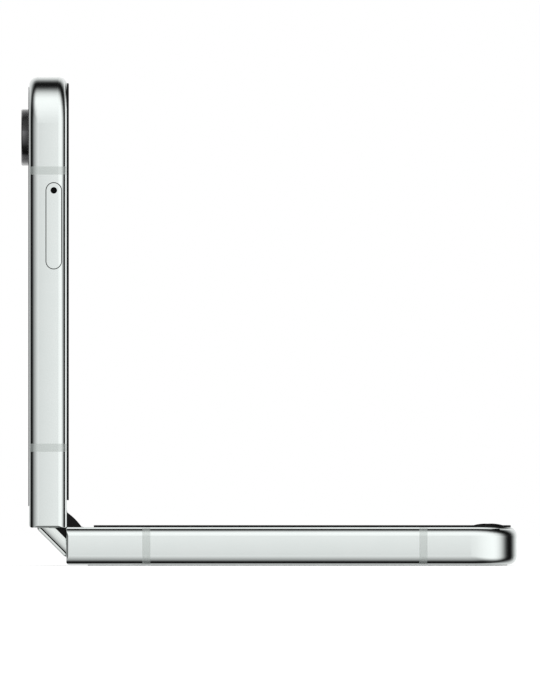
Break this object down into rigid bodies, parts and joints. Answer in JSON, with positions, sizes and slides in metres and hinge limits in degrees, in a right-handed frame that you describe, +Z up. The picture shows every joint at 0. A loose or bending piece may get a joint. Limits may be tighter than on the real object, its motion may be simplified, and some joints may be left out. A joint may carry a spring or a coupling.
{
  "type": "foldable smartphone",
  "caption": "Clamshell smartphone half open on its hinge: two slim halves, a folding display, a silver spine, side keys, card tray and rear camera rings.",
  "frame": {"origin": "middle of the lower half's back glass, on the face that it lies on", "axes": "+X along the lower half from the hinge to its free end, +Y across the phone towards the side with the keys, +Z up, along the upper half as it stands"},
  "size_m": [0.0907, 0.0724, 0.0893],
  "materials": {
    "frame_metal": "satin anodised, pale silver with a mint tint",
    "mint_glass": "satin coated glass, pale mint, opaque",
    "black_glass": "polished black glass, opaque from outside",
    "display_panel": "glossy, display off",
    "black_plastic": "fine matt black",
    "bumper_rubber": "soft matt black",
    "band_plastic": "satin grey-green",
    "ring_metal": "polished dark grey",
    "lamp_lens": "clear pale yellow lens",
    "battery_foil": "black foil pouch",
    "board_laminate": "dark green laminate",
    "copper_parts": "bare copper alloy",
    "steel_parts": "fine brushed steel"
  },
  "bodies": {
    "lower_half": {"lower_frame": "frame_metal", "lower_back_glass": "mint_glass", "lower_bezel": "black_plastic", "bezel_bumpers": "bumper_rubber", "display_lower": "display_panel", "lower_antenna_bands": "band_plastic", "lower_battery": "battery_foil", "charging_coil": "copper_parts", "lower_board": "board_laminate", "usb_port": "steel_parts", "loudspeaker": "black_plastic", "vibration_motor": "steel_parts", "microphone": "steel_parts", "lower_hinge_arms": "steel_parts", "lower_screws": "steel_parts"},
    "spine": {"hinge_spine": "frame_metal", "spine_end_caps": "black_plastic", "hinge_brackets": "steel_parts", "gear_shafts": "steel_parts", "friction_discs": "copper_parts", "display_fold": "display_panel"},
    "upper_half": {"upper_frame": "frame_metal", "cover_glass": "black_glass", "cover_display": "display_panel", "camera_rings": "ring_metal", "camera_windows": "black_glass", "camera_modules": "black_plastic", "flash_lamp": "lamp_lens", "upper_bezel": "black_plastic", "display_upper": "display_panel", "upper_antenna_bands": "band_plastic", "main_board": "board_laminate", "board_shields": "steel_parts", "upper_battery": "battery_foil", "front_camera": "black_plastic", "earpiece": "black_plastic", "tray_socket": "steel_parts", "key_switches": "copper_parts", "upper_hinge_arms": "steel_parts", "upper_screws": "steel_parts"},
    "lower_idlers": {"lower_idler_gears": "steel_parts"},
    "upper_idlers": {"upper_idler_gears": "steel_parts"},
    "card_tray": {"card_tray": "frame_metal"},
    "power_key": {"power_key": "frame_metal"},
    "volume_key": {"volume_key": "frame_metal"}
  },
  "joints": [
    {"name": "fold_lower", "type": "hinge", "parent": "lower_half", "child": "spine", "pos_m": [-0.03984, 0, 0.00609], "axis": [0, 1, 0], "range_deg": [-45, 45], "deforming": ["display_fold"]},
    {"name": "fold_upper", "type": "hinge", "parent": "spine", "child": "upper_half", "pos_m": [-0.04205, 0, 0.0083], "axis": [0, 1, 0], "range_deg": [-45, 45]},
    {"name": "lower_idler_turn", "type": "hinge", "parent": "spine", "child": "lower_idlers", "pos_m": [-0.04176, 0, 0.00469], "axis": [0, 1, 0], "range_deg": [-45, 45]},
    {"name": "upper_idler_turn", "type": "hinge", "parent": "spine", "child": "upper_idlers", "pos_m": [-0.04345, 0, 0.00637], "axis": [0, 1, 0], "range_deg": [-45, 45]},
    {"name": "tray_slide", "type": "slide", "parent": "upper_half", "child": "card_tray", "axis": [0, -1, 0], "range_m": [0, 0.016]},
    {"name": "power_press", "type": "slide", "parent": "upper_half", "child": "power_key", "axis": [0, -1, 0], "range_m": [0, 0.00025], "stiffness_N_per_m": 2000, "springref_m": -0.0001},
    {"name": "volume_rock", "type": "hinge", "parent": "upper_half", "child": "volume_key", "pos_m": [-0.04451, 0.03435, 0.05884], "axis": [1, 0, 0], "range_deg": [-1.2, 1.2], "stiffness_Nm_per_rad": 0.5}
  ],
  "couplings": [
    {"joint": "fold_upper", "follows": "fold_lower", "ratio": 1},
    {"joint": "lower_idler_turn", "follows": "fold_lower", "ratio": 1},
    {"joint": "upper_idler_turn", "follows": "fold_lower", "ratio": -1}
  ]
}
